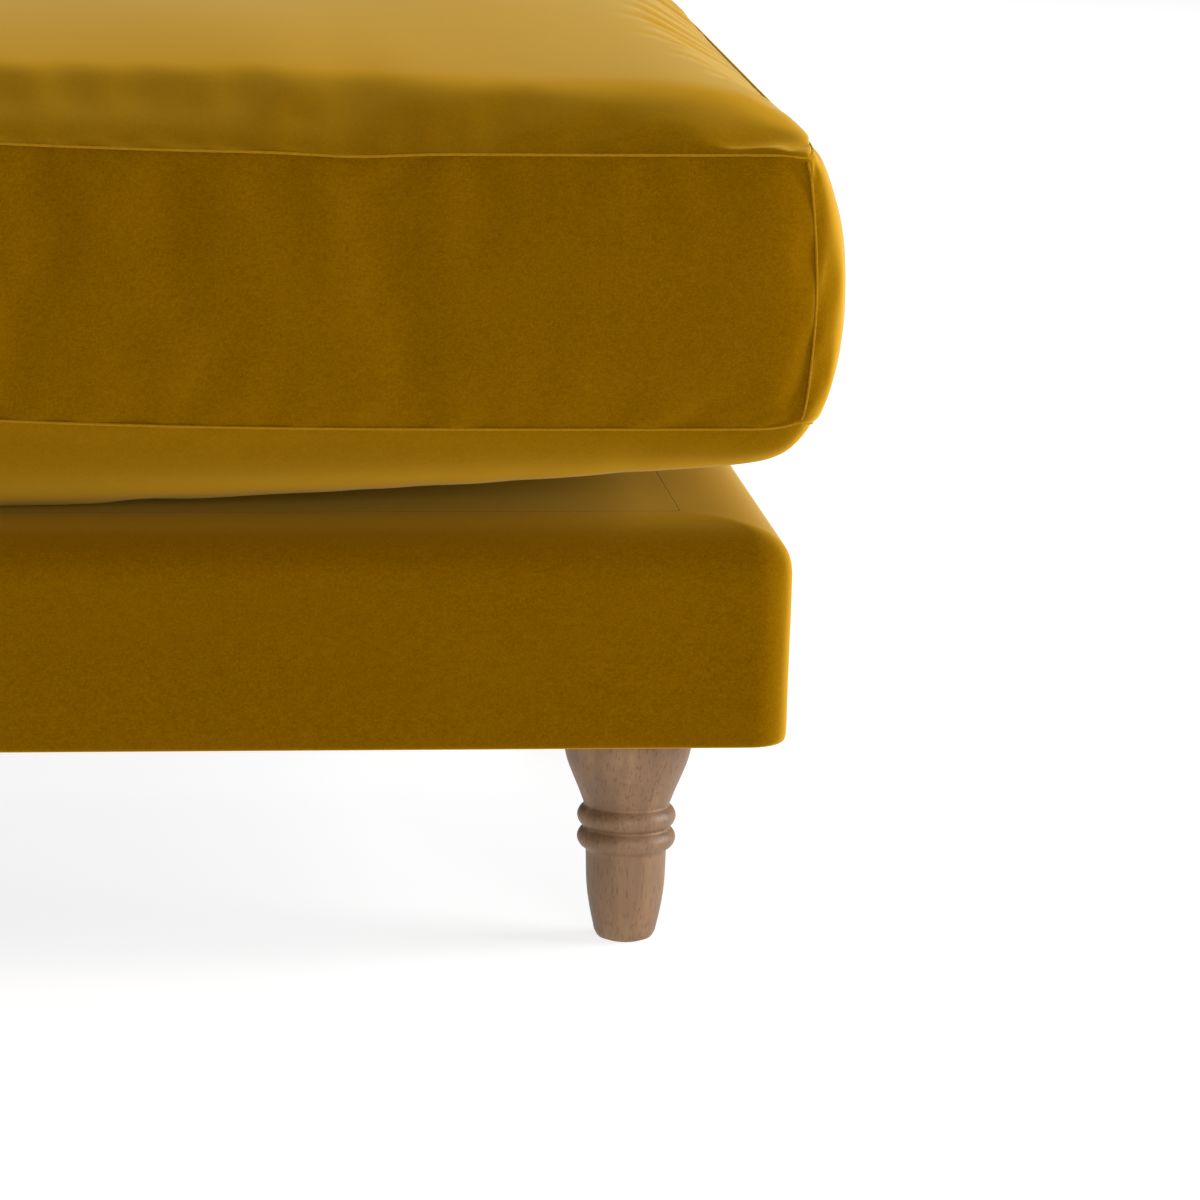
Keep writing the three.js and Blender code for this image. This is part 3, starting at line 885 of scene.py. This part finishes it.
def make_slider():
    low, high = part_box("zip_slider")
    middle_x, _, middle_z = middle_of("zip_slider")
    half_z = (high.z - low.z) / 2
    # Half of the outline, from the narrow tail to the broad nose.
    outline = [(-6.0, 0.42), (-5.2, 0.52), (-1.5, 0.60), (2.5, 0.80), (5.0, 0.78), (6.0, 0.55)]
    points = [(middle_x + x * MM, share * half_z * 0.8) for x, share in outline]
    ring = [(x, middle_z + z) for x, z in points] + [(x, middle_z - z) for x, z in reversed(points)]
    count = len(ring)
    vertices = [(x, y, z) for y in (low.y, high.y - 1 * MM) for x, z in ring]
    faces = [tuple(range(count)), tuple(reversed(range(count, 2 * count)))]
    faces += band(count, 0, count)
    body = make_mesh("zip_slider_body", vertices, faces, BRONZE, "zip_slider")
    soften(body, 0.45 * MM)
    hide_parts("zip_slider")

    bridge_top = high.y + 0.9 * MM
    feet = [(4.2, high.y - 1.2 * MM), (3.4, bridge_top - 0.5 * MM), (1.6, bridge_top)]
    arch = [(-x, y) for x, y in feet] + feet[::-1]
    path = [(middle_x + x * MM, y, middle_z) for x, y in arch]
    bridge = tube("zip_slider_bridge", path, 0.8 * MM, BRONZE, "zip_slider", closed=False, sides=12)
    make_pull(middle_x, high.y + 0.1 * MM, middle_z)


def make_pull(x, y, top, width=5.0 * MM, length=15 * MM, sides=24):
    """A flat tab with a round eye, hanging from the slider's bridge."""
    eye = 1.5 * MM
    centre = top - 1.2 * MM
    outer, inner = [], []
    for across, down in circle(sides):
        drop = 0 if down > 0 else length - width
        outer.append((x + across * width / 2 * (0.86 if down > 0 else 1), centre + down * width / 2 - drop))
        inner.append((x + across * eye, centre + down * eye))
    flat = outer + inner
    vertices = [(px, depth, pz) for depth in (y, y + 0.9 * MM) for px, pz in flat]
    faces = []
    for first, second in ((0, 1), (3, 2), (2, 0), (1, 3)):
        faces += band(first * sides, second * sides, sides)
    pull = make_mesh("zip_pull", vertices, faces, BRONZE, "zip_slider")
    soften(pull, 0.2 * MM)
    return pull


def soften(piece, width):
    """Rounds a piece's sharp edges."""
    bevel = piece.modifiers.new("rounded edges", "BEVEL")
    bevel.width = width
    bevel.segments = 3
    bevel.angle_limit = math.radians(50)
    bevel.harden_normals = True


# ---- linings, as sheets of cloth
def lattice_lines(half, marks, step=11 * MM):
    """Evenly spaced values from -half to half that pass through every mark."""
    stops = sorted({-half, half, *(sign * m for m in marks for sign in (-1, 1))})
    values = []
    for a, b in zip(stops, stops[1:]):
        count = max(1, round((b - a) / step))
        values += [a + (b - a) * k / count for k in range(count)]
    return np.array(values + [half])


def flat_sheet(name, half_x, half_y, height, relief, windows, material, body, thickness=0.6 * MM):
    """A thin stretched sheet: `relief` lifts or drops it, and `windows` are (x, y, half size) left open."""
    xs = lattice_lines(half_x, [m for x, _, half in windows for m in (x - half, x + half) if x > 0])
    ys = lattice_lines(half_y, [m for _, y, half in windows for m in (y - half, y + half) if y > 0])
    grid_x, grid_y = np.meshgrid(xs, ys)
    vertices = np.stack([grid_x, grid_y, height + relief(grid_x, grid_y)], 2).reshape(-1, 3)
    faces = []
    for j in range(len(ys) - 1):
        for i in range(len(xs) - 1):
            x, y = (xs[i] + xs[i + 1]) / 2, (ys[j] + ys[j + 1]) / 2
            if not any(abs(x - wx) < half and abs(y - wy) < half for wx, wy, half in windows):
                n = j * len(xs) + i
                faces.append((n, n + 1, n + 1 + len(xs), n + len(xs)))
    piece = make_mesh(name, vertices, faces, material, body)
    drop_loose(piece)
    thicken(piece, thickness)
    return piece


def drop_loose(piece):
    """Removes the points of a mesh that no face uses."""
    work = bmesh.new()
    work.from_mesh(piece.data)
    bmesh.ops.delete(work, geom=[v for v in work.verts if not v.link_faces], context="VERTS")
    work.to_mesh(piece.data)
    work.free()


def make_dust_cover():
    low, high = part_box("dust_cover")
    half_x, half_y = high.x, high.y - 2.5 * MM
    plates = []
    for corner in CORNERS:
        x, y, _ = middle_of(f"leg_plate_{corner}")
        plates.append((x, y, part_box(f"leg_plate_{corner}")[1].x - x + 2 * MM))

    def relief(x, y):
        edge = np.minimum(half_x - abs(x), half_y - abs(y))
        sag = -1.6 * MM * ease(edge / 0.16)
        pucker = 0.25 * MM * np.sin((x + y) * 2 * math.pi / 0.046) * hump(edge, 0.014, 0.012)
        return sag + pucker + 0.3 * MM * ripple(x, y, 4, 0.3) * ease(edge / 0.05)

    middle = middle_of("dust_cover")[2]
    sheet = flat_sheet("cambric_dust_cover", half_x, half_y, middle, relief, plates, DUST, "base")
    places = round_edge(half_x - 6 * MM, half_y - 6 * MM, low.z + 0.05 * MM, 46 * MM)
    staples = repeat("dust_cover_staples", STAPLE, places, STEEL, "base")
    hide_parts("dust_cover")


def make_lid_lining():
    low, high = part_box("lid_lining")

    def relief(x, y):
        edge = np.minimum(high.x - abs(x), high.y - abs(y))
        return 0.35 * MM * ripple(x, y, 6, 0.22) * ease(edge / 0.04)

    middle = middle_of("lid_lining")[2]
    sheet = flat_sheet("lid_lining_cloth", high.x, high.y, middle, relief, [], LINING, "lid", 0.7 * MM)
    places = round_edge(high.x - 7 * MM, high.y - 7 * MM, low.z + 0.2 * MM, 42 * MM)
    staples = repeat("lid_lining_staples", STAPLE, places, STEEL, "lid")
    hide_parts("lid_lining")


def octagon(half_x, half_y, cut, height, straight=14):
    """Points round a rectangle with its corners cut off at 45 degrees."""
    short_x, short_y = half_x - cut, half_y - cut
    corners = [(half_x, -short_y), (half_x, short_y), (short_x, half_y), (-short_x, half_y),
               (-half_x, short_y), (-half_x, -short_y), (-short_x, -half_y), (short_x, -half_y)]
    ring = []
    for a, b in zip(corners, corners[1:] + corners[:1]):
        ring += between((*a, height), (*b, height), straight)
    return ring


FLOOR_RINGS = [0.03, *(k / 14 for k in range(1, 14))]


def make_well_lining():
    """The cloth tray in the well: a floor, eight walls with soft ripples, and a turned hem."""
    low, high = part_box("well_lining")
    floor = low.z + 0.6 * MM
    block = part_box("corner_block_front_left")
    cut = block[1].x - block[0].x + 0.3 * MM
    above_floor = [(9, 0), (4, 0.6), (1.6, 3), (1.0, 8), (0.9, 20), (0.9, 34)]
    below_top = [(0.9, 9), (1.6, 7), (0.8, 5), (0.8, 1)]
    section = [(inset * MM, floor + up * MM) for inset, up in above_floor]
    section += [(inset * MM, high.z - down * MM) for inset, down in below_top]
    levels = [octagon(high.x - inset, high.y - inset, cut - inset * (1 - math.sqrt(0.5)), height)
              for inset, height in section]
    levels = [[(x * share, y * share, z) for x, y, z in levels[0]] for share in FLOOR_RINGS] + levels
    tray = stack_rings("well_lining_cloth", levels, LINING, "base", capped=False)
    keep_open_tray(tray, len(levels), len(levels[0]))
    points = read_points(tray.data)
    x, y, z = points.T
    wall = ease((z - floor - 3 * MM) / 0.015) * ease((high.z - 8 * MM - z) / 0.01)
    slack = 0.9 * MM * (1 + ripple(x, y, 8, 0.14)) * wall
    points[:, 0] -= np.sign(x) * slack * (abs(x) > high.x - cut)
    points[:, 1] -= np.sign(y) * slack * (abs(y) > high.y - cut)
    points[:, 2] += 0.5 * MM * (1 + ripple(x, y, 9, 0.2)) * (z < floor + MM / 2)
    tray.data.vertices.foreach_set("co", points.ravel())
    thicken(tray, 0.7 * MM)
    subdivide(tray, 1)
    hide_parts("well_lining")


def keep_open_tray(tray, level_count, ring_count):
    """Opens a closed stack of rings into a tray: the first ring gets a floor, the last joins nothing."""
    work = bmesh.new()
    work.from_mesh(tray.data)
    work.faces.ensure_lookup_table()
    last_ring = (level_count - 1) * ring_count
    joined = []
    for face in work.faces:
        numbers = [v.index for v in face.verts]
        if max(numbers) >= last_ring and min(numbers) < ring_count:
            joined.append(face)
    bmesh.ops.delete(work, geom=joined, context="FACES_ONLY")
    work.verts.ensure_lookup_table()
    work.faces.new([work.verts[n] for n in reversed(range(ring_count))])
    bmesh.ops.recalc_face_normals(work, faces=work.faces)
    work.to_mesh(tray.data)
    work.free()


def add_plate_screws(label):
    low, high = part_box(f"leg_plate_{label}")
    for column in (0.13, 0.87):
        for row in (0.13, 0.87):
            place = Vector((low.x + (high.x - low.x) * column, low.y + (high.y - low.y) * row, low.z))
            name = f"plate_screw_{label}_{round(column * 10)}_{round(row * 10)}"
            make_screw(name, place, Vector((0, 0, -1)), 3.2 * MM, "base")


# ---- build
make_cushion()
make_base_cover()
for corner in CORNERS:
    make_leg(corner)
    add_plate_screws(corner)
make_lid()
make_lid_lining()
make_well_lining()
make_dust_cover()
make_zip()
for side in ("left", "right"):
    add_hinge_screws(side)

FINISHES = [
    ("front_rail", PINE_X), ("back_rail", PINE_X), ("front_ledge", PINE_X), ("back_ledge", PINE_X),
    ("left_rail", PINE_Y), ("right_rail", PINE_Y), ("left_ledge", PINE_Y), ("right_ledge", PINE_Y),
    ("corner_block", PINE_Z), ("base_board", PLY), ("leg_plate", ZINC), ("hanger_bolt", ZINC),
    ("glide", NYLON),
    ("left_hinge", STEEL), ("right_hinge", STEEL), ("hook_strip", HOOKS), ("loop_strip", HOOKS),
]
for name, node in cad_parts.items():
    for start, finish in FINISHES:
        if name.startswith(start):
            node.data.materials.clear()
            node.data.materials.append(finish)


# ---- stage, light and camera
def make_floor():
    n = Nodes("pale_floor")
    n.shade(Base_Color=(0.4, 0.4, 0.4, 1), Roughness=0.9, Specular_IOR_Level=0.0)
    n.shade(Emission_Color=(1, 1, 1, 1), Emission_Strength=0.78)
    size = 30.0
    corners = [(-size, -size, 0), (size, -size, 0), (size, size, 0), (-size, size, 0)]
    mesh = bpy.data.meshes.new("floor")
    mesh.from_pydata(corners, [], [(0, 1, 2, 3)])
    floor = add_object("floor", mesh)
    mesh.materials.append(n.material)


LAMPS = [  # name, place, aimed at, width and height, watts
    ("overhead", (0.2, 0.2, 2.8), (0, 0, 0.2), (3.0, 3.0), 34),
    ("key", (3.0, -0.4, 0.9), (0.2, 0, 0.3), (1.8, 1.4), 84),
    ("front", (0.7, -3.9, 0.95), (0.2, 0, 0.3), (2.2, 1.1), 74),
    ("back", (-0.4, 3.8, 1.5), (0, 0, 0.3), (2.6, 1.6), 75),
]


def add_area(name, place, target, size, power):
    lamp = bpy.data.lights.new(name, "AREA")
    lamp.shape = "RECTANGLE"
    lamp.size, lamp.size_y = size
    lamp.energy = power
    light = add_object(name, lamp)
    light.location = place
    light.rotation_euler = (Vector(target) - Vector(place)).to_track_quat("-Z", "Y").to_euler()


def light_scene():
    world = bpy.data.worlds.new("studio")
    world.use_nodes = True
    background = world.node_tree.nodes["Background"].inputs
    background["Color"].default_value = (1, 1, 1, 1)
    background["Strength"].default_value = 0.15
    bpy.context.scene.world = world
    for lamp in LAMPS:
        add_area(*lamp)
    bpy.context.scene.view_settings.view_transform = "Standard"


def add_camera():
    """Low in front of the right-hand half, a long lens, turned a little to the right."""
    place = Vector((0.0, -3.595, 0.868))
    yaw, pitch, roll = math.radians(6.06), math.radians(11.52), math.radians(0.98)
    ahead = Vector((math.sin(yaw) * math.cos(pitch), math.cos(yaw) * math.cos(pitch), -math.sin(pitch)))
    level = Vector((math.cos(yaw), -math.sin(yaw), 0))
    above = level.cross(ahead)
    right = level * math.cos(roll) + above * math.sin(roll)
    up = right.cross(ahead)
    camera = bpy.data.cameras.new("camera")
    camera.lens = 202.8
    camera.sensor_width = 36
    view = add_object("camera", camera)
    view.matrix_world = Matrix((
        (right.x, up.x, -ahead.x, place.x),
        (right.y, up.y, -ahead.y, place.y),
        (right.z, up.z, -ahead.z, place.z),
        (0, 0, 0, 1)))
    bpy.context.scene.camera = view


make_floor()
light_scene()
add_camera()
